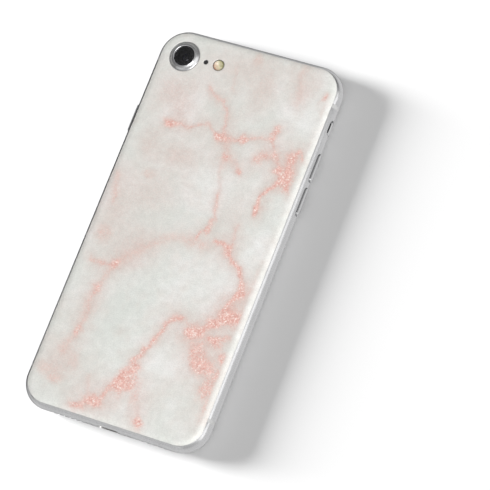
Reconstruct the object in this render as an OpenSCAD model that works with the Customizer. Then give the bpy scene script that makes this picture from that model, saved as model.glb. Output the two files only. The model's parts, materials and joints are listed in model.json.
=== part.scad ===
/* [Body] */
// Width across the aluminium body, without the buttons
body_w = 67.1; // [66.6:0.1:68]
// Length of the body
body_l = 138.3; // [138:0.1:140]
// Thickness from the cover glass to the aluminium back
body_t = 7.1; // [7.1:0.05:7.3]
// Corner radius seen from the back
corner_r = 9.6; // [9.4:0.1:9.8]
// Thickness of the flat back wall
back_wall = 0.8; // [0.75:0.05:0.8]
// Thickness of the side walls at mid height
side_wall = 2.4; // [2.3:0.05:2.4]

/* [Skin] */
// Thickness of the vinyl skin
skin_t = 0.2; // [0.15:0.05:0.3]
// How far the skin's edge stays inside the outline
skin_inset = 1.45; // [1.3:0.05:1.8]

/* [Camera] */
// Radius of the camera window
window_r = 3.55; // [3.4:0.05:3.6]
// Radius of the raised surround where it meets the back
surround_r = 5.3; // [5:0.1:5.5]
// Height of the surround above the aluminium back
surround_h = 0.9; // [0.8:0.05:1]
// Radius of the flash lens
flash_r = 1.95; // [1.8:0.05:2]
// Radius of the rear microphone hole
mic_r = 0.75; // [0.6:0.05:0.8]

/* [Buttons] */
// Length of the power and volume buttons
button_l = 9.9; // [9.5:0.1:10]
// Height of the power and volume buttons
button_h = 1.9; // [1.7:0.1:2]
// How far the buttons stand out of the body
button_out = 0.4; // [0.35:0.05:0.5]
// Gap round each button
button_gap = 0.1; // [0.08:0.01:0.12]
// Length of the ring switch's slot
ring_slot_l = 5.5; // [5.5:0.1:5.8]
// Height of the ring switch's slot
ring_slot_h = 3; // [3:0.1:3.2]

/* [Charging port] */
// Width of the port's mouth
port_w = 7.4; // [7.2:0.1:7.6]
// Height of the port's mouth
port_h = 1.9; // [1.9:0.1:2.1]

/* [SIM tray] */
// Width of the tray's face plate
tray_w = 15.6; // [15.4:0.1:15.8]
// Height of the tray's face plate
tray_h = 2.1; // [2:0.1:2.2]
// Radius of the eject hole
eject_r = 0.45; // [0.4:0.05:0.5]

/* [Hidden] */

far = 100;
fine = 64;
contact_gap = 0.02;
half_w = body_w / 2;
half_l = body_l / 2;
edge_r = body_t / 2;
corner_x = half_w - corner_r;
corner_y = half_l - corner_r;
wall_in = half_w - side_wall;
end_in = half_l - side_wall;
back_in = body_t - back_wall;

// Cover glass and its seat in the housing
glass_t = 0.95;
glass_inset = 1.38;
seat_inset = 1.3;
seat_z = 1.7;

// Display stack
frame_inset = 1.5;
frame_w = 1.6;
frame_t = 0.6;
panel_size = [60.2, 109, 1.08];
plate_size = [58.4, 108, 0.24];
plate_z = glass_t + panel_size[2] + contact_gap;

// Camera, microphone and flash in a row near the top corner
camera_at = [-23.4, 59.2];
mic_at = [-15.4, 59.2];
flash_at = [-10.7, 59.3];
bezel_w = 0.4;
bezel_ledge_w = 0.55;
window_t = 0.45;
bezel_base = 6.9;
camera_size = 10;
camera_z = [2.6, 6.2];
barrel_r = 2.9;
barrel_clear = 0.15;
barrel_z = [3.8, 6.75];

// Home button and the earpiece on the front
home_at = [0, -60.6];
home_r = 5.5;
home_ring_w = 0.45;
earpiece_at = [0, 60.4];
earpiece_l = 10.5;
earpiece_h = 1.3;
front_camera_at = [9.8, 60.4];

// Plastic antenna inlays
inlay_y = 56.5;
inlay_w = 1.3;
inlay_depth = 1;
inlay_band = [1.95, 3.2];
inlay_z = 6.55;

// Side buttons and the ring switch
power_y = 34.6;
volume_up_y = 34.9;
volume_down_y = 22.6;
ring_y = 49.4;
ring_tab_l = 4.9;
ring_tab_h = 1.5;
ring_travel = 1;
flange_x = [30.6, 31.05];
flange_lip = 0.5;
dome_x = [29.95, 30.25];
dome_r = 1.4;
bracket_x = [29.5, 29.95];
bracket_z = [2.45, 4.65];

// Bottom edge: port, screws and grille holes
port_wall = 0.4;
port_deep = 60.2;
screw_x = 6.9;
screw_r = 0.6;
screw_head_r = 1.05;
grille_r = 0.75;
grille_first = 9.9;
grille_pitch = 2.05;
grille_count = 6;

// SIM tray, measured along +Y from the tray's lower end
tray_y = 8;
tongue_y = [3.2, 15];
tongue_x = [-31.9, -12.5];
tongue_t = 0.8;
eject_y = 1.9;
card_size = [12.3, 8.8, 0.67];
card_at = [-22, 9.1];
card_clear = 0.1;

// Battery and logic board
battery_lo = [-9.2, -42, 2.75];
battery_size = [38.2, 91, 3.3];
board_z = [4.4, 5.2];
board_outline = [[-29, -38], [-9.7, -38], [-9.7, 50.5], [24, 50.5], [24, 56.5], [-17, 56.5],
                 [-17, 53.5], [-29, 53.5]];
post_at = [[-27, -36], [-11.5, -36], [-27, 17.1], [-11.3, 17.1], [22, 53.5], [-11.5, 54.4]];
post_r = 1.4;
board_screw_r = 0.48;

// Haptic actuator and loudspeaker, at the bottom corners
haptic_lo = [6.5, -62.6, 2.5];
haptic_size = [23.5, 12.1, 3.2];
haptic_wall = 0.3;
mass_size = [16.5, 10.5, 2];
speaker_lo = [-29.8, -64.9, 2.4];
speaker_hi = [-8.6, -44, 5.2];
speaker_well_lo = [-27, -59, 3];
speaker_well_hi = [-11, -47, 5.3];

// ---- shared shapes ----

// A box between two opposite corners
module block(lo, hi) {
  translate(lo)
    cube([hi[0] - lo[0], hi[1] - lo[1], hi[2] - lo[2]]);
}

// Copies of the children at both sides, or at both ends
module both_sides() {
  for (m = [0, 1])
    mirror([m, 0, 0])
      children();
}

module both_ends() {
  for (m = [0, 1])
    mirror([0, m, 0])
      children();
}

// Outline with rounded ends, its centre at the origin
module pill(l, h) {
  square([l - h, h], center = true);
  for (s = [-1, 1])
    translate([s * (l - h) / 2, 0])
      circle(r = h / 2, $fn = fine);
}

// A pill along Y at mid height, running between two places in X
module side_pill(y, l, h, x0, x1) {
  translate([x0, y, edge_r])
    rotate([90, 0, 90])
      linear_extrude(x1 - x0)
        pill(l, h);
}

// A pill along X at mid height, running between two places in Y
module end_pill(l, h, y0, y1) {
  translate([0, y1, edge_r])
    rotate([90, 0, 0])
      linear_extrude(y1 - y0)
        pill(l, h);
}

// Section of the body's edge: flat inside, a half circle outside
module edge_section(grow) {
  e = edge_r + grow;
  translate([0, -e])
    square([corner_r - edge_r, 2 * e]);
  translate([corner_r - edge_r, 0])
    circle(r = e, $fn = fine);
}

// The body's whole outer form, grown outwards all round
module slab(grow) {
  e = edge_r + grow;
  translate([0, 0, edge_r]) {
    translate([-corner_x, -corner_y, -e])
      cube([2 * corner_x, 2 * corner_y, 2 * e]);
    both_sides()
      translate([corner_x, corner_y, 0])
        rotate([90, 0, 0])
          linear_extrude(2 * corner_y)
            edge_section(grow);
    both_ends()
      rotate([0, 0, 90])
        translate([corner_y, corner_x, 0])
          rotate([90, 0, 0])
            linear_extrude(2 * corner_x)
              edge_section(grow);
    both_sides()
      both_ends()
        translate([corner_x, corner_y, 0])
          rotate_extrude(angle = 90, $fn = fine)
            edge_section(grow);
  }
}

// An upright prism that follows the body's outline at a distance inside it
module inset_prism(inset, z0, z1) {
  r = corner_r - inset;
  h = z1 - z0;
  translate([-corner_x, inset - half_l, z0])
    cube([2 * corner_x, body_l - 2 * inset, h]);
  translate([inset - half_w, -corner_y, z0])
    cube([body_w - 2 * inset, 2 * corner_y, h]);
  both_sides()
    both_ends()
      translate([corner_x, corner_y, z0])
        rotate_extrude(angle = 90, $fn = fine)
          square([r, h]);
}

// An upright cylinder at a place on the plan
module post(at, r, z0, z1) {
  translate([at[0], at[1], z0])
    cylinder(r = r, h = z1 - z0, $fn = fine);
}

// A shield can: a thin box that is open towards +Z
module open_can(lo, hi, wall) {
  difference() {
    block(lo, hi);
    block([lo[0] + wall, lo[1] + wall, lo[2] + wall], [hi[0] - wall, hi[1] - wall, hi[2] + 1]);
  }
}

// ---- housing, inlays and skin ----

// Height of the camera surround along its slope, from its flat top to the back
function slope_z(t) = body_t - 0.05 + (surround_h + 0.05) * (1 + cos(180 * t)) / 2;

module camera_surround() {
  top_r = window_r + bezel_w + 0.1;
  steps = 10;
  slope = [for (i = [0:steps]) [top_r + (surround_r - top_r) * i / steps, slope_z(i / steps)]];
  translate([camera_at[0], camera_at[1], 0])
    rotate_extrude($fn = fine)
      polygon(concat([[0, back_in + 0.1]], [[0, slope_z(0)]], slope, [[surround_r, back_in + 0.1]]));
}

// Space for one end's inlay: a band inside the outline that runs out at both sides
module inlay_space() {
  y0 = inlay_y - inlay_w / 2;
  y1 = inlay_y + inlay_w / 2;
  difference() {
    inset_prism(inlay_band[0], inlay_z, body_t + 1);
    inset_prism(inlay_band[1], inlay_z - 1, body_t + 2);
    block([-far, -far, 0], [far, y0, far]);
  }
  both_sides() {
    block([half_w - inlay_depth, y0, 0], [half_w + 1, y1, body_t]);
    block([half_w - inlay_depth - 0.8, y0, 5.9], [half_w + 1, y1, body_t]);
    block([half_w - inlay_band[1] - 0.05, y0, inlay_z], [half_w + 1, y1, body_t + 1]);
  }
}

module screw_bore(x) {
  translate([x, -half_l - 0.2, edge_r])
    rotate([-90, 0, 0]) {
      cylinder(r = screw_r + 0.05, h = 4, $fn = fine);
      cylinder(r = screw_head_r + 0.05, h = 0.5, $fn = fine);
      translate([0, 0, 0.45])
        cylinder(r1 = screw_head_r + 0.08, r2 = screw_r + 0.05, h = 0.85, $fn = fine);
    }
}

module bottom_edge_holes() {
  end_pill(port_w + 2 * port_wall + 0.2, port_h + 2 * port_wall + 0.2, -half_l - 1, -end_in + 1);
  both_sides() {
    screw_bore(screw_x);
    for (i = [0:grille_count - 1])
      translate([grille_first + i * grille_pitch, -half_l - 1, edge_r])
        rotate([-90, 0, 0])
          cylinder(r = grille_r, h = side_wall + 2, $fn = fine);
  }
}

module side_holes() {
  l = button_l + 2 * button_gap;
  h = button_h + 2 * button_gap;
  side_pill(volume_up_y, l, h, wall_in - 1, half_w + 1);
  side_pill(volume_down_y, l, h, wall_in - 1, half_w + 1);
  side_pill(ring_y, ring_slot_l, ring_slot_h, wall_in - 1, half_w + 1);
  side_pill(power_y, l, h, -half_w - 1, -wall_in + 1);
  side_pill(tray_y, tray_w + 0.2, tray_h + 0.2, -half_w - 1, -wall_in + 1);
}

module back_holes() {
  post(camera_at, window_r + bezel_w, bezel_base, body_t + 2);
  post(camera_at, window_r, back_in - 1, bezel_base + 1);
  post(mic_at, mic_r, back_in - 1, body_t + 1);
  post(flash_at, flash_r + 0.03, back_in - 1, body_t + 1);
}

module rear_housing() {
  color("silver")
    difference() {
      union() {
        difference() {
          slab(0);
          inset_prism(seat_inset, -1, seat_z);
          inset_prism(side_wall, seat_z - 0.5, back_in);
        }
        camera_surround();
        for (p = post_at)
          post(p, post_r, board_z[1], back_in + 0.1);
      }
      back_holes();
      bottom_edge_holes();
      side_holes();
      both_ends()
        inlay_space();
      for (p = post_at)
        post(p, board_screw_r + 0.02, board_z[1] - 1, back_in);
    }
}

module antenna_inlay() {
  intersection() {
    slab(0);
    inlay_space();
  }
}

module antenna_line_top() {
  color("gainsboro")
    antenna_inlay();
}

module antenna_line_bottom() {
  color("gainsboro")
    mirror([0, 1, 0])
      antenna_inlay();
}

module vinyl_skin() {
  color("white")
    difference() {
      intersection() {
        slab(contact_gap + skin_t);
        inset_prism(skin_inset, body_t - 2, body_t + 1);
      }
      slab(contact_gap);
      post(camera_at, surround_r + 0.1, body_t - 2, body_t + 2);
      post(mic_at, mic_r + 0.1, body_t - 2, body_t + 2);
      post(flash_at, flash_r + 0.1, body_t - 2, body_t + 2);
    }
}

// ---- camera, microphone and flash ----

module camera_bezel() {
  top = body_t + surround_h;
  seat = top - window_t - 0.05;
  color("lightgray")
    translate([camera_at[0], camera_at[1], 0])
      rotate_extrude($fn = fine)
        polygon([[window_r - bezel_ledge_w, bezel_base], [window_r + bezel_w, bezel_base],
                 [window_r + bezel_w, top], [window_r, top], [window_r, seat],
                 [window_r - bezel_ledge_w, seat]]);
}

module camera_window() {
  top = body_t + surround_h - 0.05;
  color("black")
    post(camera_at, window_r, top - window_t, top);
}

module rear_camera_housing() {
  lo = [camera_at[0] - camera_size / 2, camera_at[1] - camera_size / 2, camera_z[0]];
  color("dimgray")
    difference() {
      block(lo, [lo[0] + camera_size, lo[1] + camera_size, camera_z[1]]);
      post(camera_at, barrel_r + barrel_clear, barrel_z[0] - 0.25, camera_z[1] + 1);
      post(camera_at, barrel_r - 0.6, camera_z[0] - 1, camera_z[1]);
    }
}

module lens_barrel() {
  color("black")
    translate([camera_at[0], camera_at[1], 0])
      rotate_extrude($fn = fine)
        polygon([[0, barrel_z[0]], [barrel_r, barrel_z[0]], [barrel_r, barrel_z[1] - 0.3],
                 [barrel_r - 0.3, barrel_z[1]], [2.1, barrel_z[1]], [1.1, barrel_z[1] - 0.7],
                 [0, barrel_z[1] - 0.55]]);
}

module camera_sensor_board() {
  half = camera_size / 2 - 0.2;
  lo = [camera_at[0] - half, camera_at[1] - half, 2.15];
  color("darkgreen") {
    block(lo, [lo[0] + 2 * half, lo[1] + 2 * half, camera_z[0]]);
    block([camera_at[0] - 1.6, camera_at[1] - 1.2, camera_z[0] - 0.1],
          [camera_at[0] + 1.6, camera_at[1] + 1.2, 3]);
  }
}

module flash_lens() {
  color("khaki") {
    post(flash_at, flash_r, back_in, body_t + 0.05);
    post(flash_at, flash_r + 0.5, back_in - 0.35, back_in);
  }
}

module flash_module() {
  color("orange") {
    block([flash_at[0] - 2.2, flash_at[1] - 2.2, 5.3], [flash_at[0] + 2.2, flash_at[1] + 2.2, 5.55]);
    for (dx = [-0.85, 0.85])
      for (dy = [-0.85, 0.85])
        block([flash_at[0] + dx - 0.6, flash_at[1] + dy - 0.6, 5.5],
              [flash_at[0] + dx + 0.6, flash_at[1] + dy + 0.6, 5.8]);
  }
}

module rear_mic_mesh() {
  color("black")
    post(mic_at, 1.2, back_in - 0.2, back_in);
}

module rear_microphone() {
  top = back_in - 0.2;
  color("goldenrod")
    difference() {
      block([mic_at[0] - 1.4, mic_at[1] - 1.9, top - 1], [mic_at[0] + 1.4, mic_at[1] + 1.9, top]);
      post(mic_at, 0.35, top - 0.3, top + 1);
    }
}

// ---- front ----

module cover_glass() {
  color("white")
    difference() {
      intersection() {
        slab(0);
        inset_prism(glass_inset, -1, glass_t);
      }
      post(home_at, home_r, -1, glass_t + 1);
      translate([earpiece_at[0], earpiece_at[1], -1])
        linear_extrude(glass_t + 2)
          pill(earpiece_l, earpiece_h);
    }
}

module display_frame() {
  color("black")
    difference() {
      inset_prism(frame_inset, glass_t, glass_t + frame_t);
      inset_prism(frame_inset + frame_w, glass_t - 1, glass_t + 1);
    }
}

// A plate centred on the body, lying between two heights
module centred_plate(size, z) {
  translate([-size[0] / 2, -size[1] / 2, z])
    cube(size);
}

module display_panel() {
  color("darkslategray")
    centred_plate(panel_size, glass_t);
}

module display_backplate() {
  color("gray")
    centred_plate(plate_size, plate_z);
}

module home_button_ring() {
  color("silver")
    difference() {
      post(home_at, home_r - 0.04, 0.02, glass_t + 0.1);
      post(home_at, home_r - home_ring_w, -1, glass_t + 1);
    }
}

module home_button() {
  color("whitesmoke") {
    post(home_at, home_r - home_ring_w - 0.02, 0.12, glass_t + 0.1);
    post(home_at, home_r - 1.5, glass_t, 1.7);
  }
}

module home_button_bracket() {
  color("lightgray")
    difference() {
      block([home_at[0] - 8, home_at[1] - 5.2, 1.72], [home_at[0] + 8, home_at[1] + 5.2, 1.92]);
      for (s = [-1, 1])
        post([home_at[0] + s * 6.5, home_at[1]], 0.6, 1, 3);
    }
}

module earpiece_mesh() {
  color("dimgray")
    translate([earpiece_at[0], earpiece_at[1], 0.3])
      linear_extrude(glass_t - 0.3)
        pill(earpiece_l - 0.08, earpiece_h - 0.08);
}

module earpiece_speaker() {
  color("black")
    difference() {
      block([-6.2, 57.6, glass_t + 0.1], [6.2, 63, 3.8]);
      block([-5, 59.9, glass_t], [5, 60.9, 1.6]);
    }
}

module front_camera() {
  color("black") {
    block([front_camera_at[0] - 2.8, front_camera_at[1] - 2.8, 2], [front_camera_at[0] + 2.8,
          front_camera_at[1] + 2.8, 4.2]);
    post(front_camera_at, 2, glass_t + 0.05, 2.1);
  }
}

module light_sensor() {
  color("purple")
    block([-2.2, 63.6, glass_t + 0.05], [2.2, 65.2, 1.9]);
}

// ---- bottom edge ----

module grille_mesh(x_sign) {
  x0 = grille_first - 1.2;
  x1 = grille_first + (grille_count - 1) * grille_pitch + 1.2;
  lo = x_sign > 0 ? x0 : -x1;
  block([lo, -end_in, edge_r - 1.1], [lo + x1 - x0, -end_in + 0.2, edge_r + 1.1]);
}

module speaker_mesh() {
  color("dimgray")
    grille_mesh(-1);
}

module microphone_mesh() {
  color("dimgray")
    grille_mesh(1);
}

module bottom_screw(x) {
  translate([x, -half_l + 0.3, edge_r])
    rotate([-90, 0, 0])
      difference() {
        union() {
          cylinder(r1 = screw_head_r, r2 = screw_r, h = 0.75, $fn = fine);
          cylinder(r = screw_r, h = 4.2, $fn = fine);
        }
        for (a = [0, 90])
          rotate([0, 0, a])
            translate([-0.6, -0.13, -0.1])
              cube([1.2, 0.26, 0.45]);
      }
}

module bottom_screws() {
  color("lightgray")
    both_sides()
      bottom_screw(screw_x);
}

module charging_port() {
  color("gray")
    difference() {
      union() {
        end_pill(port_w + 2 * port_wall, port_h + 2 * port_wall, -half_l + 0.3, -end_in + 0.3);
        block([-5.2, -end_in + 0.25, 1.95], [5.2, -port_deep + 0.8, 5.15]);
      }
      end_pill(port_w, port_h, -half_l - 1, -port_deep);
    }
}

module port_contacts() {
  floor_z = edge_r - port_h / 2;
  color("gold") {
    block([-2.7, -67, floor_z], [2.7, -port_deep, floor_z + 0.12]);
    for (i = [0:7])
      translate([-2.45 + 0.665 * i, -66.8, floor_z + 0.1])
        cube([0.25, 5, 0.12]);
  }
}

module charging_flex() {
  color("saddlebrown")
    difference() {
      block([-15, -66.2, 5.3], [14, -58, 5.45]);
      block([5.6, -63.4, 5], [20, -57, 6]);
    }
}

module bottom_microphone() {
  color("goldenrod")
    block([10.5, -66.2, 4.2], [13.5, -64, 5.3]);
}

module cellular_antenna() {
  color("peru")
    block([-25, -65.8, 5.6], [25, -63, 5.75]);
}

// ---- side buttons and switches ----

// A button on the +X side: a cap in its slot, and a flange behind the wall
module side_button(y) {
  intersection() {
    side_pill(y, button_l, button_h, flange_x[0], half_w + 1);
    slab(button_out);
  }
  side_pill(y, button_l + 2 * flange_lip, button_h + 2 * flange_lip, flange_x[0], flange_x[1]);
}

module power_button() {
  color("silver")
    mirror([1, 0, 0])
      side_button(power_y);
}

module volume_up_button() {
  color("silver")
    side_button(volume_up_y);
}

module volume_down_button() {
  color("silver")
    side_button(volume_down_y);
}

module ring_switch() {
  color("gray")
    translate([0, 0, -ring_travel / 2]) {
      side_pill(ring_y, ring_tab_l, ring_tab_h, flange_x[0], half_w - 0.25);
      side_pill(ring_y, ring_tab_l + 0.8, ring_tab_h + 0.6, flange_x[0], flange_x[1]);
    }
}

module power_switch_bracket() {
  color("darkgray")
    block([-bracket_x[1], power_y - 6.5, bracket_z[0]], [-bracket_x[0], power_y + 6.5, bracket_z[1]]);
}

module side_switch_bracket() {
  color("darkgray") {
    block([bracket_x[0], 15.5, bracket_z[0]], [bracket_x[1], 53.5, bracket_z[1]]);
    block([bracket_x[1], ring_y - 3.6, bracket_z[0]], [flange_x[0] - 0.05, ring_y + 3.6, bracket_z[1]]);
  }
}

module dome(y) {
  translate([dome_x[0], y, edge_r])
    rotate([0, 90, 0])
      cylinder(r1 = dome_r, r2 = 0.8 * dome_r, h = dome_x[1] - dome_x[0], $fn = fine);
}

module switch_domes() {
  color("lightgray") {
    dome(volume_up_y);
    dome(volume_down_y);
    mirror([1, 0, 0])
      dome(power_y);
  }
}

// ---- SIM ----

module sim_tray() {
  z0 = edge_r - tongue_t / 2;
  z1 = edge_r + tongue_t / 2;
  pocket = [card_size[0] / 2 + card_clear, card_size[1] / 2 + card_clear];
  color("silver")
    difference() {
      union() {
        intersection() {
          side_pill(tray_y, tray_w, tray_h, -half_w - 1, tongue_x[0]);
          slab(0);
        }
        block([tongue_x[0] - 0.1, tongue_y[0], z0], [tongue_x[1], tongue_y[1], z1]);
      }
      block([card_at[0] - pocket[0], card_at[1] - pocket[1], z1 - card_size[2]],
            [card_at[0] + pocket[0], card_at[1] + pocket[1], z1 + 1]);
      block([card_at[0] - pocket[0] + 1, card_at[1] - pocket[1] + 1, z0 - 1],
            [card_at[0] + pocket[0] - 1, card_at[1] + pocket[1] - 1, z1]);
      translate([-half_w - 1, eject_y, edge_r])
        rotate([0, 90, 0])
          cylinder(r = eject_r, h = 4, $fn = fine);
    }
}

module sim_card() {
  top = edge_r + tongue_t / 2;
  x = card_at[0] - card_size[0] / 2;
  y = card_at[1] - card_size[1] / 2;
  color("white")
    translate([x, y, top - card_size[2]])
      linear_extrude(card_size[2])
        polygon([[0, 0], [card_size[0] - 1.6, 0], [card_size[0], 1.6], [card_size[0], card_size[1]],
                 [0, card_size[1]]]);
}

module sim_reader() {
  color("lightgray")
    difference() {
      block([-30.2, tongue_y[0] - 0.5, 2.75], [-11.6, tongue_y[1] + 0.5, 4.35]);
      block([-31, tongue_y[0] - 0.2, 2.95], [-12, tongue_y[1] + 0.2, 4.15]);
    }
}

// ---- battery and boards ----

module battery() {
  color("#222222")
    block(battery_lo, battery_lo + battery_size);
}

module battery_adhesive() {
  z0 = battery_lo[2] + battery_size[2];
  color("white")
    for (x = [-4, 9, 22])
      block([x - 3.5, battery_lo[1] + 3, z0], [x + 3.5, battery_lo[1] + battery_size[1] - 3, back_in]);
}

module battery_flex() {
  color("saddlebrown")
    block([-13.6, -14, 3.45], [battery_lo[0], -10, 3.6]);
}

module logic_board() {
  color("#143a6b")
    translate([0, 0, board_z[0]])
      linear_extrude(board_z[1] - board_z[0])
        difference() {
          polygon(board_outline);
          for (p = post_at)
            translate(p)
              circle(r = board_screw_r + 0.1, $fn = fine);
        }
}

module board_screws() {
  color("silver")
    for (p = post_at) {
      post(p, board_screw_r, board_z[0] - 0.05, back_in - 0.3);
      post(p, 1.15, board_z[0] - 0.4, board_z[0]);
    }
}

module board_shield_front() {
  color("lightgray")
    open_can([-28.2, 19, 3.1], [-10.4, 49.5, board_z[0]], 0.2);
}

module board_shield_rear() {
  color("lightgray")
    translate([0, 0, board_z[1] + back_in - 0.05])
      mirror([0, 0, 1])
        open_can([-28.2, -31, board_z[1]], [-10.4, 12, back_in - 0.05], 0.2);
}

module processor() {
  color("black")
    block([-26.4, 24, 3.5], [-12.4, 38, board_z[0]]);
}

module board_connectors() {
  color("black")
    for (at = [[-19, -8], [-19, -24], [-12.6, -12]])
      block([at[0] - 1.6, at[1] - 3.6, 3.62], [at[0] + 1.6, at[1] + 3.6, board_z[0]]);
}

module connector_cover(y) {
  difference() {
    union() {
      block([-23.6, y - 6, 3.15], [-15.8, y + 6, 3.35]);
      for (s = [-1, 1])
        block([-20.6, y + s * 5.5 - 0.5, 3.3], [-17.4, y + s * 5.5 + 0.5, board_z[0]]);
    }
    post([-22.2, y], 0.6, 3, 4);
  }
}

module display_connector_cover() {
  color("gainsboro")
    connector_cover(-8);
}

module battery_connector_cover() {
  color("gainsboro")
    connector_cover(-24);
}

module display_cables() {
  color("saddlebrown")
    for (y = [-8, -24]) {
      block([-26.5, y - 3, plate_z + plate_size[2] + contact_gap], [-21, y + 3, 2.5]);
      block([-26.5, y - 3, 2.4], [-26.3, y + 3, 3.6]);
      block([-26.5, y - 3, 3.46], [-17.4, y + 3, 3.6]);
    }
}

// ---- loudspeaker and haptic actuator ----

module loudspeaker_housing() {
  color("black")
    difference() {
      intersection() {
        block(speaker_lo, speaker_hi);
        inset_prism(side_wall + 0.3, 0, body_t);
      }
      block(speaker_well_lo, speaker_well_hi);
    }
}

module loudspeaker_diaphragm() {
  lo = speaker_well_lo + [1, 1, 1.2];
  hi = [speaker_well_hi[0] - 1, speaker_well_hi[1] - 1, lo[2] + 0.25];
  color("slategray") {
    block(lo, hi);
    difference() {
      block([lo[0] + 3, lo[1] + 2, lo[2] - 0.7], [hi[0] - 3, hi[1] - 2, lo[2] + 0.1]);
      block([lo[0] + 3.6, lo[1] + 2.6, lo[2] - 1], [hi[0] - 3.6, hi[1] - 2.6, lo[2]]);
    }
  }
}

module haptic_housing() {
  color("lightgray")
    open_can(haptic_lo, haptic_lo + haptic_size, haptic_wall);
}

function haptic_mid() = haptic_lo + haptic_size / 2;

module haptic_mass() {
  lo = haptic_mid() - mass_size / 2;
  color("dimgray")
    block(lo, lo + mass_size);
}

// One folded leaf spring between the mass and the end wall, on the +X side
module haptic_spring() {
  inner = mass_size[0] / 2;
  outer = haptic_size[0] / 2 - haptic_wall;
  leaf = 0.15;
  linear_extrude(1.6, center = true)
    polygon([[inner, -4.6], [inner + leaf, -4.6], [outer - leaf, 4.2], [outer - leaf, -4.6],
             [outer, -4.6], [outer, 4.8], [outer - leaf, 4.8], [inner + leaf, -4.1], [inner, -4.1]]);
}

module haptic_springs() {
  color("silver")
    translate(haptic_mid())
      both_sides()
        haptic_spring();
}

module wifi_antenna() {
  color("peru")
    block([2, 60, 4.9], [23, 65, 5.05]);
}

// ---- drawing ----

rear_housing();
antenna_line_top();
antenna_line_bottom();
vinyl_skin();
camera_bezel();
camera_window();
flash_lens();
rear_mic_mesh();
cover_glass();
display_frame();
display_panel();
display_backplate();
home_button();
home_button_ring();
home_button_bracket();
earpiece_mesh();
earpiece_speaker();
front_camera();
light_sensor();
speaker_mesh();
microphone_mesh();
bottom_screws();
charging_port();
port_contacts();
charging_flex();
bottom_microphone();
power_button();
power_switch_bracket();
volume_up_button();
volume_down_button();
ring_switch();
side_switch_bracket();
switch_domes();
sim_tray();
sim_card();
sim_reader();
battery();
battery_adhesive();
battery_flex();
logic_board();
board_shield_front();
board_shield_rear();
processor();
board_connectors();
display_connector_cover();
battery_connector_cover();
board_screws();
rear_camera_housing();
lens_barrel();
camera_sensor_board();
flash_module();
rear_microphone();
loudspeaker_housing();
loudspeaker_diaphragm();
haptic_housing();
haptic_mass();
haptic_springs();
wifi_antenna();
cellular_antenna();
display_cables();
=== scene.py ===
"""Looks of a slim phone with a marble vinyl skin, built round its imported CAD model."""
import json
import math

import bpy
import numpy as np
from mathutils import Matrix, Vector, geometry, noise


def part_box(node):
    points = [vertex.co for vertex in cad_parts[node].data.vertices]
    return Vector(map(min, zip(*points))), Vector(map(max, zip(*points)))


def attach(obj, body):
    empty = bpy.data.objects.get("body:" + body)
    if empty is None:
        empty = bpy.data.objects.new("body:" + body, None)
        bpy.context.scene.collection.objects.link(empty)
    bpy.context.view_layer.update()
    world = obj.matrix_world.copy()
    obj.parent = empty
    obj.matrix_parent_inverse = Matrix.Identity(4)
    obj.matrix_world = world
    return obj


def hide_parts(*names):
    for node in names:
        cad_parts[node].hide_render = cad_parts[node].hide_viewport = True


MM = 0.001
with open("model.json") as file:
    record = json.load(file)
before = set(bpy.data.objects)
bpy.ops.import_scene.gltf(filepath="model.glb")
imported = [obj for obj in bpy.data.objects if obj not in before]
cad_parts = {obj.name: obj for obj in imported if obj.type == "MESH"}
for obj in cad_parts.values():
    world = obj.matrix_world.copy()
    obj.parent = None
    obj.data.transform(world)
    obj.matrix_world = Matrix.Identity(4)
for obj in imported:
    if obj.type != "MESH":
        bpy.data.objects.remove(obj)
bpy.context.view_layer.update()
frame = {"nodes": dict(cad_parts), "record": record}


# ---- sizes, in millimetres ----

def box_mm(node):
    """Lowest and highest corner of a CAD node, in millimetres."""
    low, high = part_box(node)
    return low / MM, high / MM


def centre_mm(node):
    """Middle of a CAD node's box, in millimetres."""
    low, high = box_mm(node)
    return (low + high) / 2


# The body is a slab with rounded corners in plan, and with full round edges
HOUSING_HIGH = box_mm("rear_housing")[1]
HALF_W = HOUSING_HIGH.x
HALF_L = HOUSING_HIGH.y
CORNER_R = 9.6

# The skin lies on the back with a hair's gap under it, which the film's own thickness all but fills
SKIN_HIGH = box_mm("vinyl_skin")[1]
SKIN_T = 0.2
SKIN_GAP = 0.02
FILM_T = SKIN_T + 0.018
BACK_Z = SKIN_HIGH.z - SKIN_T - SKIN_GAP
EDGE_R = BACK_Z / 2
SKIN_INSET = HALF_W - SKIN_HIGH.x

# Openings in the skin: centres and radii of the camera surround, microphone and flash
CAMERA = centre_mm("camera_bezel")
MIC = centre_mm("rear_mic_mesh")
FLASH = centre_mm("flash_lens")
SURROUND_R = 5.3
MIC_R = 0.75
FLASH_R = 1.95
CUT_GAP = 0.1

# The camera's glass, and the bore of the ledge under it
WINDOW_R = 3.55
LEDGE_R = 3.0

# The lit part of the front
SCREEN_HALF_W = 29.3
SCREEN_HALF_L = 52.0

# How wide the gap round each side part is, and how far into the wall the shade painted along it reaches
SEAM_WIDTH = 0.20
SEAM_DEPTH = 2.0

# Where each gap and its painted shade run: side of the body, place along it, half its straight length, end
# radius
SEAMS = {
    "volume_up_button": (1.0, 34.9, 4.0, 1.07),
    "volume_down_button": (1.0, 22.6, 4.0, 1.07),
    "power_button": (-1.0, 34.6, 4.0, 1.07),
    "sim_tray": (-1.0, 8.0, 6.75, 1.16),
}

# Edges sharper than these angles get a crease on turned pieces, or a round on machined ones
CREASE_ANGLE = math.radians(28)
ROUND_ANGLE = math.radians(38)

# Widths of the rounds on the machined parts' crisp edges, and the reach of the weld before them
WELD_REACH = 0.001
EDGE_ROUNDS = {
    "rear_housing": 0.09,
    "power_button": 0.32,
    "volume_up_button": 0.32,
    "volume_down_button": 0.32,
    "ring_switch": 0.18,
    "sim_tray": 0.07,
    "charging_port": 0.08,
    "bottom_screws": 0.04,
    "antenna_line_top": 0.03,
    "antenna_line_bottom": 0.03,
}
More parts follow.
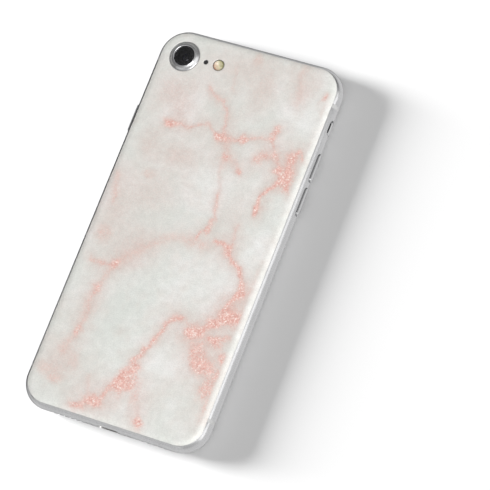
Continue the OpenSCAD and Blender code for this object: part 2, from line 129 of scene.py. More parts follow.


# ---- the marble print: veins and patches on the back, in millimetres ----

# Each vein: strength, half width, and the points that it runs through
VEINS = [
    (0.42, 1.7, [(9, -2), (3, -1), (-3, -3), (-8, -5), (-11, -8), (-14, -12), (-17, -16)]),
    (0.45, 1.7, [(-17, -16), (-19, -20), (-21, -25), (-22, -30), (-21, -36), (-22, -42), (-24, -50)]),
    (0.60, 0.8, [(-16, -15), (-19, -17), (-23, -17.5), (-27, -17)]),
    (0.80, 1.0, [(10, -28), (7, -31), (6, -34), (4, -38), (2, -41), (1, -45)]),
    (0.70, 1.2, [(-2, -55), (-4, -59), (-5, -63), (-9, -62), (-13, -65)]),
    (0.35, 1.2, [(4, -50), (7, -55), (9, -60), (10, -66)]),
    (0.85, 1.1, [(12, 0), (17, -1), (20, -4), (23, -7), (26, -11), (26, -15), (24, -20)]),
    (0.90, 1.6, [(27, -22), (23, -25), (20, -28), (16, -31)]),
    (0.50, 2.8, [(16, -32), (19, -36), (22, -39), (26, -42), (30, -47), (32, -56)]),
    (0.65, 0.9, [(22, -32), (25, -30), (29, -28)]),
    (0.30, 0.8, [(9, -28), (12, -28), (16, -30)]),
    (0.65, 0.8, [(6, 16), (7, 12), (8.5, 8), (8, 5), (6.5, 3), (4, 0)]),
    (0.90, 0.9, [(21.5, 13), (22, 16), (21, 20), (23, 24), (25, 27), (27, 30)]),
    (0.60, 1.1, [(27, 30), (26, 34), (27, 37), (31, 35)]),
    (0.55, 1.1, [(24, 28), (20, 34), (18, 38), (17, 43)]),
    (0.50, 1.0, [(20, 34), (16, 33), (15, 30)]),
    (0.60, 0.9, [(-20, 34), (-17, 36), (-13, 36.5), (-9, 38), (-6, 38.5), (-2, 36), (2, 37)]),
    (0.60, 0.9, [(2, 36), (7, 36.5), (11, 37.5), (15, 38.5), (18, 39)]),
    (0.60, 0.8, [(-10, 51), (-6, 49), (-3, 47), (-1, 44), (0, 40), (1, 36)]),
    (0.45, 0.9, [(3, 35), (4, 30), (7, 28), (11, 25.5)]),
    (0.30, 0.6, [(5, 27), (5, 21), (6, 16)]),
    (0.45, 0.9, [(-29, 14), (-28.5, 9), (-27, 5)]),
    (0.45, 0.8, [(16, 8), (16.5, 3), (17, -1)]),
    (0.35, 0.8, [(31, 56), (31, 48), (30.5, 40)]),
    (0.30, 1.0, [(19, 66), (19.5, 60), (20, 54)]),
    (0.25, 0.6, [(-4, 60), (-3, 56), (-1, 52)]),
    (0.30, 0.7, [(-11, -54), (-11, -60)]),
    (0.40, 1.2, [(31, -2), (31, -8), (30, -14)]),
]

# Each patch: strength, centre, and its half sizes across and along
PATCHES = [
    (1.00, (0, -53), (2.8, 5.4)),
    (0.85, (2.5, -48), (1.8, 4.0)),
    (0.80, (3.5, -54), (2.0, 2.6)),
    (0.80, (-8, -62), (4.2, 2.4)),
    (0.90, (10.5, -64), (2.2, 2.2)),
    (1.00, (27, -22), (4.8, 2.6)),
    (0.85, (22, -25.5), (3.0, 1.8)),
    (0.85, (27, -15), (2.4, 2.6)),
    (0.95, (17, -30.5), (3.2, 2.2)),
    (0.75, (29, -36), (2.8, 2.8)),
    (0.85, (30.5, -42), (2.0, 3.0)),
    (0.75, (24, -41), (3.6, 2.8)),
    (0.80, (24, -32), (3.6, 2.2)),
    (0.70, (27, -48), (3.0, 3.0)),
    (0.55, (20, -37), (2.6, 3.0)),
    (0.60, (31, -54), (1.4, 4.0)),
    (0.55, (-12, -65), (3.0, 1.4)),
    (0.50, (6, -58), (1.6, 2.6)),
    (0.45, (-26, -8), (2.8, 3.2)),
    (0.50, (-22, -26), (2.2, 2.6)),
    (0.50, (-21.5, -41), (1.8, 2.4)),
    (0.45, (-27, -56), (3.6, 2.2)),
    (0.50, (-23, -59), (2.8, 2.2)),
    (0.30, (-19, -51), (2.6, 3.2)),
    (0.90, (-19, 35.5), (2.6, 1.8)),
    (0.95, (-0.5, 35), (2.2, 1.6)),
    (0.70, (7.5, 36.5), (1.6, 1.3)),
    (0.55, (4.5, 29), (1.8, 1.8)),
    (0.60, (10.5, 25.5), (1.6, 1.4)),
    (0.90, (22.5, 29.5), (2.2, 1.6)),
    (0.90, (27, 27), (3.8, 5.2)),
    (0.65, (26, 34), (2.6, 3.2)),
    (0.90, (21.5, 14.5), (1.4, 2.2)),
    (0.60, (17, 42), (1.6, 2.2)),
    (0.50, (16, 33), (2.0, 2.4)),
    (0.75, (28.5, 57.5), (1.6, 2.0)),
    (0.45, (2, 65), (2.4, 2.4)),
    (0.40, (-19, 17), (2.2, 1.6)),
    (0.60, (8, 3), (1.2, 2.0)),
]

# Each blush: strength, centre, and its half sizes; a faint wash under the veins
BLUSHES = [
    (0.55, (-23, 47), (6, 6)),
    (0.45, (-18, 41), (4, 5)),
    (0.40, (-24, 27), (4, 6)),
    (0.45, (-11, 25), (6, 4)),
    (0.35, (-16, 10), (9, 8)),
    (0.45, (8, 55), (4, 8)),
    (0.30, (0, 62), (10, 5)),
    (0.40, (24, 33), (9, 7)),
    (0.40, (21, 60), (5, 8)),
    (0.45, (24, -38), (8, 7)),
    (0.50, (26, -20), (8, 7)),
    (0.35, (-22, -54), (9, 8)),
    (0.40, (-14, -9), (8, 6)),
    (0.35, (-22, -34), (4, 12)),
    (0.35, (-6, -60), (9, 6)),
    (0.35, (4, 28), (8, 6)),
    (0.30, (14, 12), (5, 10)),
    (0.25, (-28, 0), (6, 14)),
    (0.30, (9, -60), (5, 7)),
    (0.24, (-15, 32), (13, 22)),
    (0.18, (-2, 56), (20, 10)),
    (0.20, (-24, -2), (8, 14)),
]

# The print thins out towards the edge on the button side; the paler edge is partly the print and partly a
# painted highlight along that rounded edge
FADE_START = 29.6
FADE_WIDTH = 1.2
FADE_DEPTH = 0.75

# How far round a vein its blush spreads, in widths of the vein, and how strong it is
BLUSH_SPREAD = 3.2
BLUSH_SHARE = 0.5

NOISE_SEED = 4


def stroke_distance(points, path):
    """Distance from each point to a line of points."""
    best = np.full(len(points), np.inf)
    for a, b in zip(path[:-1], path[1:]):
        a, b = np.array(a, float), np.array(b, float)
        along = b - a
        t = np.clip((points - a) @ along / (along @ along), 0, 1)
        best = np.minimum(best, np.linalg.norm(points - a - t[:, None] * along, axis=1))
    return best


def wandering(points, size, reach, layer):
    """Points pushed about by smooth noise, so that lines and patches get ragged edges."""
    shift = [noise.noise_vector(Vector((x / size, y / size, layer))) for x, y in points]
    return points + reach * np.array([(v.x, v.y) for v in shift])


def over(below, above):
    """One wash laid over another."""
    return 1 - (1 - below) * (1 - above)


def marble_masks(points):
    """How much vein and how much blush each point of the back has, from 0 to 1."""
    noise.seed_set(NOISE_SEED)
    wavy = wandering(points, size=7, reach=1.6, layer=3.0)
    ragged = wandering(wavy, size=2.2, reach=0.9, layer=8.0)
    vein = np.zeros(len(points))
    blush = np.zeros(len(points))
    for strength, half_width, path in VEINS:
        d = stroke_distance(ragged, path)
        vein = over(vein, strength * np.exp(-(d / half_width) ** 2))
        blush = over(blush, BLUSH_SHARE * strength * np.exp(-(d / (BLUSH_SPREAD * half_width)) ** 2))
    for strength, at, size in PATCHES:
        d = np.linalg.norm((ragged - at) / size, axis=1)
        vein = over(vein, strength * np.exp(-d ** 3))
    for strength, at, size in BLUSHES:
        d = np.linalg.norm((ragged - at) / size, axis=1)
        blush = over(blush, strength * np.exp(-d ** 2))
    # Paler print near the button side's edge: partly the print thinning, partly a painted highlight
    fade = 1 - FADE_DEPTH * np.clip((points[:, 0] - FADE_START) / FADE_WIDTH, 0, 1)
    return vein * fade, blush * fade


# ---- materials ----

class Nodes:
    """The node tree of a material or of the world, with short calls to add and join nodes."""

    def __init__(self, owner, shader="Principled BSDF"):
        owner.use_nodes = True
        self.owner = owner
        self.tree = owner.node_tree
        self.shader = self.tree.nodes[shader]

    def add(self, kind, **values):
        node = self.tree.nodes.new(kind)
        for key, value in values.items():
            setattr(node, key, value)
        return node

    def link(self, output, target):
        self.tree.links.new(output, target)

    def feed(self, socket, value):
        """Give a socket a number, a colour, or another node's output."""
        if isinstance(value, tuple):
            socket.default_value = (*value, 1)
        elif isinstance(value, (int, float)):
            socket.default_value = value
        else:
            self.link(value, socket)

    def set(self, **values):
        """Constants on the shader's own sockets."""
        for name, value in values.items():
            self.shader.inputs[name.replace("_", " ")].default_value = value

    def drive(self, name, value):
        """A node's output on one of the shader's sockets."""
        self.link(value, self.shader.inputs[name])

    def place(self):
        """Object coordinates in millimetres."""
        coords = self.add("ShaderNodeTexCoord")
        scale = self.add("ShaderNodeVectorMath", operation="SCALE")
        scale.inputs["Scale"].default_value = 1 / MM
        self.link(coords.outputs["Object"], scale.inputs[0])
        return scale.outputs["Vector"]

    def parts(self, vector):
        """The X, Y and Z outputs of a vector."""
        split = self.add("ShaderNodeSeparateXYZ")
        self.link(vector, split.inputs[0])
        return split.outputs["X"], split.outputs["Y"], split.outputs["Z"]

    def noise(self, vector, size, detail=3.0, rough=0.5):
        """Smooth noise whose blotches are about as large as size."""
        node = self.add("ShaderNodeTexNoise")
        node.inputs["Scale"].default_value = 1 / size
        node.inputs["Detail"].default_value = detail
        node.inputs["Roughness"].default_value = rough
        self.link(vector, node.inputs["Vector"])
        return node.outputs["Fac"]

    def ramp(self, value, stops):
        """A colour that follows a value through (position, colour) stops."""
        node = self.add("ShaderNodeValToRGB")
        band = node.color_ramp
        while len(band.elements) < len(stops):
            band.elements.new(0.5)
        for element, (position, colour) in zip(band.elements, stops):
            element.position = position
            element.color = (*colour, 1)
        self.link(value, node.inputs["Fac"])
        return node.outputs["Color"]

    def math(self, operation, a, b=0.0):
        node = self.add("ShaderNodeMath", operation=operation)
        self.feed(node.inputs[0], a)
        self.feed(node.inputs[1], b)
        return node.outputs["Value"]

    def mix(self, factor, a, b, blend="MIX"):
        """Colour a where the factor is 0, and b where it is 1."""
        node = self.add("ShaderNodeMix", data_type="RGBA", blend_type=blend)
        self.feed(node.inputs["Factor"], factor)
        self.feed(node.inputs[6], a)
        self.feed(node.inputs[7], b)
        return node.outputs[2]

    def spread(self, value, low, high, start=0.0, end=1.0):
        """Stretch a value so that start becomes low and end becomes high, with no overshoot."""
        node = self.add("ShaderNodeMapRange")
        for name, number in (("From Min", start), ("From Max", end), ("To Min", low), ("To Max", high)):
            node.inputs[name].default_value = number
        self.link(value, node.inputs["Value"])
        return node.outputs["Result"]

    def bump(self, height, depth_mm):
        node = self.add("ShaderNodeBump")
        node.inputs["Strength"].default_value = 1.0
        node.inputs["Distance"].default_value = depth_mm * MM
        self.link(height, node.inputs["Height"])
        self.drive("Normal", node.outputs["Normal"])


def new_material(name):
    return Nodes(bpy.data.materials.new(name))


def grey(level):
    return (level, level, level)


def plain(name, colour, rough, metal=0.0, grain=0.4, depth=0.004, vary=0.08):
    """A material with one colour that varies a little, and a fine grain."""
    m = new_material(name)
    where = m.place()
    cloud = m.noise(where, 6.0, 2.0)
    fine = m.noise(where, grain, 3.0)
    dark = tuple(c * (1 - vary) for c in colour)
    light = tuple(min(1.0, c * (1 + vary)) for c in colour)
    m.drive("Base Color", m.ramp(cloud, [(0.35, dark), (0.65, light)]))
    m.drive("Roughness", m.spread(fine, rough * 0.88, min(1.0, rough * 1.12), 0.3, 0.7))
    m.set(Metallic=metal)
    m.bump(fine, depth)
    return m.owner


def stone_ground(m, where, blush, vein, grit):
    """Pale stone with warm clouds, a wash of blush and a tint along the veins."""
    stone_tones = [(0.34, (0.67, 0.69, 0.65)), (0.50, (0.715, 0.725, 0.69)), (0.68, (0.80, 0.80, 0.78))]
    warm_cloud = (0.68, 0.605, 0.56)
    blush_pink = (0.66, 0.50, 0.455)
    vein_pink = (0.69, 0.46, 0.40)
    stone = m.ramp(m.noise(where, 16.0, 5.0, 0.6), stone_tones)
    cloud = m.spread(m.noise(where, 9.0, 6.0, 0.65), 0.0, 0.45, 0.47, 0.72)
    clouded = m.mix(cloud, stone, warm_cloud)
    wash = m.math("MULTIPLY", blush, m.spread(grit, 0.65, 1.25, 0.35, 0.65))
    washed = m.mix(wash, clouded, blush_pink)
    soft = m.math("MULTIPLY", vein, m.spread(grit, 0.5, 1.0, 0.35, 0.65))
    return m.mix(soft, washed, vein_pink)


def foil_flakes(m, where):
    """Small flakes of pink foil, each with its own tone."""
    flake_size = 0.42
    tones = [(0.0, (0.68, 0.35, 0.30)), (0.45, (0.77, 0.46, 0.40)),
             (0.8, (0.84, 0.59, 0.53)), (1.0, (0.92, 0.80, 0.75))]
    cell = m.add("ShaderNodeTexVoronoi")
    cell.inputs["Scale"].default_value = 1 / flake_size
    m.link(where, cell.inputs["Vector"])
    split = m.add("ShaderNodeSeparateColor")
    m.link(cell.outputs["Color"], split.inputs["Color"])
    return m.ramp(split.outputs["Red"], tones)


def marble_vinyl():
    """Pale stone print with pink foil veins, under a satin film."""
    m = new_material("marble_vinyl")
    where = m.place()
    vein = m.add("ShaderNodeAttribute", attribute_name="vein").outputs["Fac"]
    blush = m.add("ShaderNodeAttribute", attribute_name="blush").outputs["Fac"]
    grit = m.noise(where, 0.9, 4.0, 0.8)
    ground = stone_ground(m, where, blush, vein, grit)
    speck = m.noise(where, 0.5, 4.0, 0.75)
    body = m.math("ADD", vein, m.spread(speck, -0.38, 0.38, 0.3, 0.7))
    cover = m.spread(body, 0.0, 1.0, 0.45, 0.95)
    flecks = m.mix(cover, ground, foil_flakes(m, where))
    fine = m.spread(m.noise(where, 0.35, 2.0), 0.93, 1.05, 0.35, 0.65)
    medium = m.spread(m.noise(where, 2.4, 4.0, 0.7), 0.95, 1.04, 0.35, 0.65)
    m.drive("Base Color", m.mix(1.0, flecks, m.math("MULTIPLY", fine, medium), "MULTIPLY"))
    m.drive("Roughness", m.spread(cover, 0.42, 0.34))
    m.set(Coat_Weight=0.2, Coat_Roughness=0.25)
    m.bump(m.noise(where, 0.8, 2.0), 0.003)
    return m.owner


def painted_seam_shade(m, where):
    """1 on a thin band of painted shade along the gap round each button and the SIM tray, 0 elsewhere."""
    x, y, z = m.parts(where)
    total = 0.0
    for side, along, half_straight, end_r in SEAMS.values():
        flat = m.math("SUBTRACT", y, along)
        over_end = m.math("MAXIMUM", m.math("SUBTRACT", m.math("ABSOLUTE", flat), half_straight), 0.0)
        rise = m.math("SUBTRACT", z, EDGE_R)
        square = m.math("ADD", m.math("POWER", over_end, 2.0), m.math("MULTIPLY", rise, rise))
        away = m.math("SUBTRACT", m.math("SQRT", square), end_r)
        near = m.math("LESS_THAN", m.math("ABSOLUTE", away), SEAM_WIDTH / 2)
        here = m.math("GREATER_THAN", m.math("MULTIPLY", x, side), HALF_W - SEAM_DEPTH)
        total = m.math("MAXIMUM", total, m.math("MULTIPLY", near, here))
    return total


def blasted_aluminium():
    """Fine blasted silver metal, with shade painted black along the gaps round the side parts."""
    # Black for the shade painted along the gaps round the side parts
    painted_gap_shade = (0.02, 0.02, 0.02)
    m = new_material("blasted_aluminium")
    where = m.place()
    fine = m.noise(where, 0.12, 2.0)
    cloud = m.noise(where, 9.0, 2.0)
    silver = m.ramp(cloud, [(0.3, (0.50, 0.50, 0.505)), (0.7, (0.55, 0.55, 0.555))])
    # Painted shade: black along the gaps round the buttons and the SIM tray
    m.drive("Base Color", m.mix(painted_seam_shade(m, where), silver, painted_gap_shade))
    m.drive("Roughness", m.spread(fine, 0.24, 0.34, 0.3, 0.7))
    m.set(Metallic=1.0)
    m.bump(fine, 0.0015)
    return m.owner


def clear_glass():
    """Faintly tinted glass with a trace of dust."""
    m = new_material("clear_glass")
    dust = m.noise(m.place(), 0.4, 4.0, 0.7)
    m.drive("Base Color", m.ramp(dust, [(0.3, (0.62, 0.62, 0.64)), (0.7, (0.70, 0.70, 0.72))]))
    m.drive("Roughness", m.spread(dust, 0.0, 0.05, 0.45, 0.75))
    m.set(Transmission_Weight=1.0, IOR=1.35)
    return m.owner


def flash_plastic():
    """Cream plastic, warmer on one side and olive on the other, over two tones of lamp."""
    tones = [(0.0, (0.60, 0.36, 0.26)), (0.3, (0.68, 0.52, 0.38)),
             (0.55, (0.66, 0.61, 0.42)), (1.0, (0.38, 0.36, 0.17))]
    cream = (0.80, 0.76, 0.62)
    m = new_material("flash_cover")
    where = m.place()
    away = m.add("ShaderNodeVectorMath", operation="SUBTRACT")
    away.inputs[1].default_value = FLASH
    m.link(where, away.inputs[0])
    x, y, _ = m.parts(away.outputs["Vector"])
    flat = m.add("ShaderNodeCombineXYZ")
    m.link(x, flat.inputs["X"])
    m.link(y, flat.inputs["Y"])
    radius = m.add("ShaderNodeVectorMath", operation="LENGTH")
    m.link(flat.outputs["Vector"], radius.inputs[0])
    across = m.spread(m.math("ADD", x, m.math("MULTIPLY", y, 0.6)), 0, 1, -1.8, 1.8)
    blotch = m.noise(where, 0.7, 3.0)
    mottled = m.mix(m.spread(blotch, 0, 0.5, 0.4, 0.65), m.ramp(across, tones), cream)
    rim = m.spread(radius.outputs["Value"], 1.0, 0.30, 1.45, 1.9)
    m.drive("Base Color", m.mix(1.0, mottled, rim, "MULTIPLY"))
    m.drive("Roughness", m.spread(blotch, 0.12, 0.25))
    m.set(Subsurface_Weight=0.2, Subsurface_Radius=(0.0006, 0.0005, 0.0003))
    return m.owner


def front_glass():
    """White printed border round the dark screen."""
    screen_black = (0.008, 0.008, 0.010)
    m = new_material("front_glass")
    where = m.place()
    x, y, _ = m.parts(where)
    over_x = m.math("SUBTRACT", m.math("ABSOLUTE", x), SCREEN_HALF_W)
    over_y = m.math("SUBTRACT", m.math("ABSOLUTE", y), SCREEN_HALF_L)
    outside = m.math("GREATER_THAN", m.math("MAXIMUM", over_x, over_y), 0.0)
    white = m.ramp(m.noise(where, 8.0), [(0.3, grey(0.78)), (0.7, grey(0.82))])
    m.drive("Base Color", m.mix(outside, screen_black, white))
    m.drive("Roughness", m.spread(m.noise(where, 12.0, 4.0), 0.02, 0.09, 0.4, 0.7))
    return m.owner


def make_materials():
    """Every material, under the name of its slot in the record or of the piece that wears it."""
    made = {
        "silver_aluminium": blasted_aluminium(),
        "marble_vinyl": marble_vinyl(),
        "camera_glass": clear_glass(),
        "flash_cover": flash_plastic(),
        "front_glass": front_glass(),
    }
    plains = {
        "inlay_plastic": dict(colour=(0.46, 0.46, 0.455), rough=0.45, grain=0.3),
        "polished_ring": dict(colour=(0.80, 0.80, 0.81), rough=0.14, metal=1.0, grain=0.2, depth=0.001),
        "barrel_black": dict(colour=(0.012, 0.012, 0.013), rough=0.35, grain=0.08, depth=0.004),
        "coated_glass": dict(colour=(0.010, 0.010, 0.022), rough=0.06, depth=0.0, vary=0.3),
        "flash_plastic": dict(colour=(0.66, 0.60, 0.34), rough=0.25, grain=0.5),
        "fine_mesh": dict(colour=(0.03, 0.03, 0.03), rough=0.7, grain=0.12, depth=0.02),
        "black_plastic": dict(colour=(0.03, 0.03, 0.032), rough=0.5, grain=0.2),
        "panel": dict(colour=(0.02, 0.022, 0.026), rough=0.08, depth=0.0),
        "sensor_cap": dict(colour=(0.80, 0.80, 0.79), rough=0.08, depth=0.0),
        "steel_sheet": dict(colour=(0.62, 0.61, 0.60), rough=0.32, metal=1.0, grain=0.3),
        "tungsten": dict(colour=(0.28, 0.28, 0.29), rough=0.4, metal=1.0),
        "gold_contacts": dict(colour=(0.83, 0.62, 0.25), rough=0.25, metal=1.0),
        "flex_film": dict(colour=(0.30, 0.13, 0.03), rough=0.35),
        "circuit_board": dict(colour=(0.02, 0.07, 0.16), rough=0.4, grain=0.8),
        "battery_pouch": dict(colour=(0.02, 0.02, 0.022), rough=0.45, grain=1.2, depth=0.03),
        "adhesive": dict(colour=(0.75, 0.75, 0.74), rough=0.6),
        "card_plastic": dict(colour=(0.8, 0.8, 0.8), rough=0.4),
        "diaphragm": dict(colour=(0.12, 0.13, 0.15), rough=0.4),
    }
    for name, look in plains.items():
        made[name] = plain(name, **look)
    return made


def dress_cad_nodes(materials):
    """Each CAD node gets the material of its slot in the record."""
    slots = {part["node"]: part["material_slot"] for part in frame["record"]["subparts"]}
    for name, node in frame["nodes"].items():
        node.data.materials.clear()
        node.data.materials.append(materials[slots[name]])


# ---- mesh helpers ----

def circle(at, r, steps):
    """Points round a circle on the plan."""
    turns = [2 * math.pi * i / steps for i in range(steps)]
    return [(at[0] + r * math.cos(a), at[1] + r * math.sin(a)) for a in turns]


def outline(inset, spacing, arc_steps):
    """Points round the body at a distance inside its outline, anticlockwise."""
    r = CORNER_R - inset
    x, y = HALF_W - CORNER_R, HALF_L - CORNER_R
    corners = [(x, y, 0), (-x, y, 90), (-x, -y, 180), (x, -y, 270)]
    points = []
    for k, (cx, cy, start) in enumerate(corners):
        for i in range(arc_steps + 1):
            a = math.radians(start + 90 * i / arc_steps)
            points.append((cx + r * math.cos(a), cy + r * math.sin(a)))
        nx, ny, turn = corners[(k + 1) % 4]
        a = math.radians(turn)
        end = (nx + r * math.cos(a), ny + r * math.sin(a))
        last = points[-1]
        steps = max(1, round(math.dist(last, end) / spacing))
        for i in range(1, steps):
            t = i / steps
            points.append((last[0] + (end[0] - last[0]) * t, last[1] + (end[1] - last[1]) * t))
    return points


def inset_of(x, y):
    """Distance from a point on the plan to the body's outline."""
    dx = abs(x) - (HALF_W - CORNER_R)
    dy = abs(y) - (HALF_L - CORNER_R)
    outside = math.hypot(max(dx, 0), max(dy, 0))
    return CORNER_R - outside - min(max(dx, dy), 0)


def back_height(x, y, grow):
    """Height of the body's back over a point on the plan, grown outwards."""
    d = inset_of(x, y)
    r = EDGE_R + grow
    if d >= EDGE_R:
        return EDGE_R + r
    return EDGE_R + math.sqrt(max(0.0, r * r - (EDGE_R - d) ** 2))


def new_piece(name, vertices, faces, material, body="phone"):
    """A smooth mesh object from points in millimetres, riding on a body."""
    mesh = bpy.data.meshes.new(name)
    mesh.from_pydata([tuple(c * MM for c in v) for v in vertices], [], faces)
    mesh.validate()
    mesh.materials.append(material)
    mesh.shade_smooth()
    piece = bpy.data.objects.new(name, mesh)
    bpy.context.scene.collection.objects.link(piece)
    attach(piece, body)
    return piece


# ---- the vinyl skin ----

def in_opening(x, y, openings, margin=0.0):
    """Whether a point on the plan is in one of the skin's openings, or within a margin of it."""
    return any(math.dist((x, y), (at[0], at[1])) < r + margin for at, r, _ in openings)


def skin_plan():
    """Flat points, boundary edges and round openings of the skin."""
    rim_spacing, row_spacing, grid = 0.7, 0.8, 0.6
    rim_arc_steps, row_arc_steps = 22, 18
    rounded_rows = (1.75, 2.1, 2.5, 2.95, 3.45, 4.0)
    flat_inset = 4.3
    collar = 0.35
    openings = [(CAMERA, SURROUND_R + CUT_GAP, 72), (MIC, MIC_R + CUT_GAP, 28),
                (FLASH, FLASH_R + CUT_GAP, 48)]
    points, edges = [], []

    def boundary(loop):
        start, count = len(points), len(loop)
        points.extend(loop)
        edges.extend((start + i, start + (i + 1) % count) for i in range(count))

    boundary(outline(SKIN_INSET, rim_spacing, rim_arc_steps))
    for inset in rounded_rows:
        points.extend(outline(inset, row_spacing, row_arc_steps))
    for at, r, steps in openings:
        boundary(circle(at, r, steps))
        points.extend(circle(at, r + collar, steps))
    for j in range(int(2 * HALF_L / grid)):
        y = -HALF_L + (j + 0.5) * grid
        for i in range(int(2 * HALF_W / grid)):
            x = -HALF_W + (i + 0.5 + 0.5 * (j % 2)) * grid
            if inset_of(x, y) > flat_inset and not in_opening(x, y, openings, grid):
                points.append((x, y))
    return points, edges, openings


def vinyl_skin(materials):
    """The printed film: a triangulated plan laid over the rounded back, with its masks and thickness."""
    points, edges, openings = skin_plan()
    flat = [Vector(p) for p in points]
    out, _, triangles, _, _, _ = geometry.delaunay_2d_cdt(flat, edges, [], 1, 1e-6)
    kept = []
    for tri in triangles:
        x = sum(out[i].x for i in tri) / 3
        y = sum(out[i].y for i in tri) / 3
        if not in_opening(x, y, openings):
            kept.append(tri)
    top = [(p.x, p.y, back_height(p.x, p.y, SKIN_T + SKIN_GAP)) for p in out]
    skin = new_piece("skin_film", top, kept, materials["marble_vinyl"])
    plan = np.array([(p.x, p.y) for p in out])
    for name, values in zip(("vein", "blush"), marble_masks(plan)):
        layer = skin.data.attributes.new(name, "FLOAT", "POINT")
        layer.data.foreach_set("value", values.astype(np.float32))
    thick = skin.modifiers.new("film", "SOLIDIFY")
    thick.thickness = FILM_T * MM
    thick.offset = -1
    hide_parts("vinyl_skin")


# ---- round pieces turned from a profile ----

def lathe(name, profile, at, steps, material, body="phone"):
    """A turned piece from (radius, height) points in millimetres. A radius of 0 is one point on the axis."""
    vertices, faces, rings = [], [], []
    for r, z in profile:
        around = [(at[0], at[1])] if r == 0 else circle(at, r, steps)
        rings.append(range(len(vertices), len(vertices) + len(around)))
        vertices.extend((x, y, z) for x, y in around)
    for a, b in zip(rings[:-1], rings[1:]):
        for i in range(steps):
            j = (i + 1) % steps
            if len(a) == 1:
                faces.append((a[0], b[i], b[j]))
            elif len(b) == 1:
                faces.append((a[j], a[i], b[0]))
            else:
                faces.append((a[i], b[i], b[j], a[j]))
    piece = new_piece(name, vertices, faces, material, body)
    sharp = piece.modifiers.new("edges", "EDGE_SPLIT")
    sharp.split_angle = CREASE_ANGLE
    return piece


def lens_barrel(materials):
    """Stepped black barrel with its front glass element."""
    low, high = box_mm("lens_barrel")
    r, z = high.x - CAMERA.x, high.z
    chamfer, mouth_r, steps = 0.3, 2.30, 4
    step_in, step_down, slope, seat, seat_in = 0.22, 0.20, 0.06, 0.12, 0.04
    profile = [(0, low.z), (r, low.z), (r, z - chamfer), (r - chamfer, z), (mouth_r, z)]
    for i in range(steps):
        edge = mouth_r - step_in * i
        tread = z - step_down * i - step_down
        profile += [(edge - slope, tread), (edge - step_in, tread)]
    rim_r, rim_z = profile[-1]
    profile += [(rim_r - seat_in, rim_z - seat), (0, rim_z - seat)]
    barrel = lathe("barrel_steps", profile, CAMERA, 72, materials["barrel_black"],
                   "lens_barrel")
    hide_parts("lens_barrel")
    dome_r, dome_low, dome_rise, dome_steps = rim_r - 0.05, rim_z - 0.10, 0.32, 8
    dome = [(0, dome_low)]
    for i in range(dome_steps):
        a = math.radians(90 * i / dome_steps)
        dome.append((dome_r * math.cos(a), dome_low + dome_rise * math.sin(a)))
    dome.append((0, dome_low + dome_rise))
    element = lathe("front_element", dome, CAMERA, 72, materials["coated_glass"],
                    "lens_barrel")
    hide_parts("lens_barrel")


def camera_ring(materials):
    """Polished ring with a rounded lip round the camera glass, and the black mask behind the glass."""
    low, high = box_mm("camera_bezel")
    outer = high.x - CAMERA.x
    glass_gap, shelf_drop, lip_steps = 0.02, 0.06, 12
    inner = WINDOW_R + glass_gap
    lip = (outer - inner) / 2
    top = high.z - lip
    shelf = box_mm("camera_window")[0].z - shelf_drop
    profile = [(LEDGE_R, low.z), (outer, low.z)]
    for i in range(lip_steps + 1):
        a = math.radians(180 * i / lip_steps)
        profile.append(((outer + inner) / 2 + lip * math.cos(a), top + lip * math.sin(a)))
    profile += [(inner, shelf), (LEDGE_R, shelf), (LEDGE_R, low.z)]
    ring = lathe("bezel_ring", profile, CAMERA, 96, materials["polished_ring"])
    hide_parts("camera_bezel")
    mask_in, mask_out, mask_low, mask_high = 2.5, inner - 0.01, shelf + 0.01, shelf + 0.05
    band = [(mask_in, mask_low), (mask_out, mask_low), (mask_out, mask_high), (mask_in, mask_high),
            (mask_in, mask_low)]
    lathe("window_mask", band, CAMERA, 96, materials["barrel_black"])


def flash_optic(materials):
    """Flash cover with concentric ridges that spread its light."""
    low, high = box_mm("flash_lens")
    flange_t, chamfer, groove_r = 0.35, 0.1, 1.66
    ridges, ridge_r, ridge_pitch, ridge_run = 7, 1.60, 0.19, 0.17
    flange_r, flange_z = high.x - FLASH.x, low.z + flange_t
    face, groove, crest, valley, middle = (high.z - drop for drop in (0.01, 0.08, 0.02, 0.09, 0.03))
    profile = [(0, low.z), (flange_r, low.z), (flange_r, flange_z), (FLASH_R, flange_z)]
    profile += [(FLASH_R, high.z - chamfer), (FLASH_R - chamfer, face), (groove_r, face), (groove_r, groove)]
    for i in range(ridges):
        outer = ridge_r - ridge_pitch * i
        profile += [(outer, crest), (outer - ridge_run, valley)]
    profile += [(0.20, middle), (0, face)]
    lens = lathe("flash_cover", profile, FLASH, 64, materials["flash_cover"])
    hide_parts("flash_lens")


def soften_edges():
    """Small rounds on the crisp edges of the machined parts, once their split corners are welded."""
    for name, width in EDGE_ROUNDS.items():
        weld = frame["nodes"][name].modifiers.new("weld", "WELD")
        weld.merge_threshold = WELD_REACH * MM
        edge = frame["nodes"][name].modifiers.new("edge", "BEVEL")
        edge.width = width * MM
        edge.segments = 3
        edge.limit_method = "ANGLE"
        edge.angle_limit = ROUND_ANGLE
        edge.harden_normals = True


# ---- camera, floor and light, in metres ----

# Where the picture is taken from, the turn in degrees, and the lens and sensor in millimetres
VIEW_FROM = (0.35957, -0.22058, 0.86858)
VIEW_TURN = (20.449, 14.980, 21.830)
VIEW_LENS = 214.55
VIEW_SENSOR = 36
FLOOR_HALF = 1.1

# Brightness round the phone along one direction, from its dark end at 0 to its bright end at 1
BRIGHT_SIDE = (0.62, -0.30, 0.72)
SKY_STOPS = [(0.0, 0.28), (0.30, 0.28), (0.50, 0.32), (0.70, 0.75), (0.85, 1.3), (1.0, 1.5)]
GROUND_STOPS = [(0.0, 0.02), (0.06, 0.10), (0.12, 1.4), (0.26, 1.8), (1.0, 1.8)]
WORLD_STRENGTH = 0.55
BACKDROP = 1.75

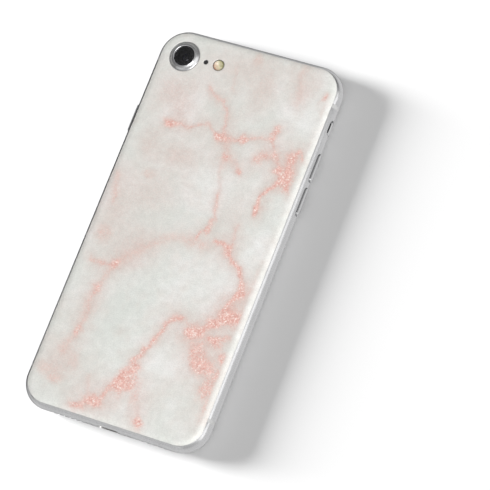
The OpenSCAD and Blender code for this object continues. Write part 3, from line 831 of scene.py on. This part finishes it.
# Soft lights: place, size and watts. The low one falls on the floor alone, the others on all but the floor
FLOOR_LIGHTS = {"low_light": ((-2.45, -0.10, 0.62), (0.85, 0.85), 190)}
PHONE_LIGHTS = {
    "soft_box": ((0.55, -0.25, 1.2), (0.9, 0.9), 11.3),
    "side_box": ((1.25, 0.05, 0.42), (1.6, 0.5), 3.2),
    "front_box": ((-0.5, -1.3, 0.35), (1.4, 0.5), 1.7),
}


def add_camera():
    """The camera that the picture is taken with."""
    data = bpy.data.cameras.new("camera")
    data.lens = VIEW_LENS
    data.sensor_width = VIEW_SENSOR
    camera = bpy.data.objects.new("camera", data)
    camera.location = VIEW_FROM
    camera.rotation_euler = [math.radians(a) for a in VIEW_TURN]
    bpy.context.scene.collection.objects.link(camera)
    bpy.context.scene.camera = camera


def add_floor():
    """Plain pale floor. Reflections look past it, to the lower half of the world."""
    s = FLOOR_HALF
    mesh = bpy.data.meshes.new("floor")
    mesh.from_pydata([(-s, -s, 0), (s, -s, 0), (s, s, 0), (-s, s, 0)], [], [(0, 1, 2, 3)])
    mesh.materials.append(plain("floor_white", grey(0.90), 0.6, vary=0.0, depth=0.0))
    floor = bpy.data.objects.new("floor", mesh)
    floor.visible_glossy = False
    bpy.context.scene.collection.objects.link(floor)
    return floor


def add_area(name, location, size, power, floor, on_floor):
    """A soft light that falls either on the floor alone or on everything else."""
    data = bpy.data.lights.new(name, "AREA")
    data.shape = "RECTANGLE"
    data.size, data.size_y = size
    data.energy = power
    light = bpy.data.objects.new(name, data)
    light.location = location
    light.rotation_euler = (-Vector(location)).to_track_quat("-Z", "Y").to_euler()
    bpy.context.scene.collection.objects.link(light)
    group = bpy.data.collections.new(name + "_falls_on")
    group.objects.link(floor)
    group.collection_objects[0].light_linking.link_state = "INCLUDE" if on_floor else "EXCLUDE"
    light.light_linking.receiver_collection = group


def add_world():
    """A soft sky, brighter on one side. Below the horizon it stands in for the floor in reflections."""
    w = Nodes(bpy.data.worlds.new("world"), "Background")
    bpy.context.scene.world = w.owner
    direction = w.add("ShaderNodeTexCoord").outputs["Generated"]
    side = w.add("ShaderNodeVectorMath", operation="DOT_PRODUCT")
    side.inputs[1].default_value = Vector(BRIGHT_SIDE).normalized()
    w.link(direction, side.inputs[0])
    towards = w.spread(side.outputs["Value"], 0, 1, -1, 1)
    above = w.math("GREATER_THAN", w.parts(direction)[2], 0.0)
    ground = w.ramp(towards, [(position, grey(level)) for position, level in GROUND_STOPS])
    sky = w.ramp(towards, [(position, grey(level)) for position, level in SKY_STOPS])
    around = w.mix(above, ground, sky)
    backdrop = w.add("ShaderNodeLightPath").outputs["Is Camera Ray"]
    w.drive("Color", w.mix(backdrop, around, grey(BACKDROP)))
    w.set(Strength=WORLD_STRENGTH)


def add_lights(floor):
    add_world()
    for name, (location, size, power) in FLOOR_LIGHTS.items():
        add_area(name, location, size, power, floor, on_floor=True)
    for name, (location, size, power) in PHONE_LIGHTS.items():
        add_area(name, location, size, power, floor, on_floor=False)
    bpy.context.scene.view_settings.view_transform = "Standard"


# ---- the scene ----

add_camera()
add_lights(add_floor())
MATERIALS = make_materials()
dress_cad_nodes(MATERIALS)
vinyl_skin(MATERIALS)
lens_barrel(MATERIALS)
camera_ring(MATERIALS)
flash_optic(MATERIALS)
soften_edges()
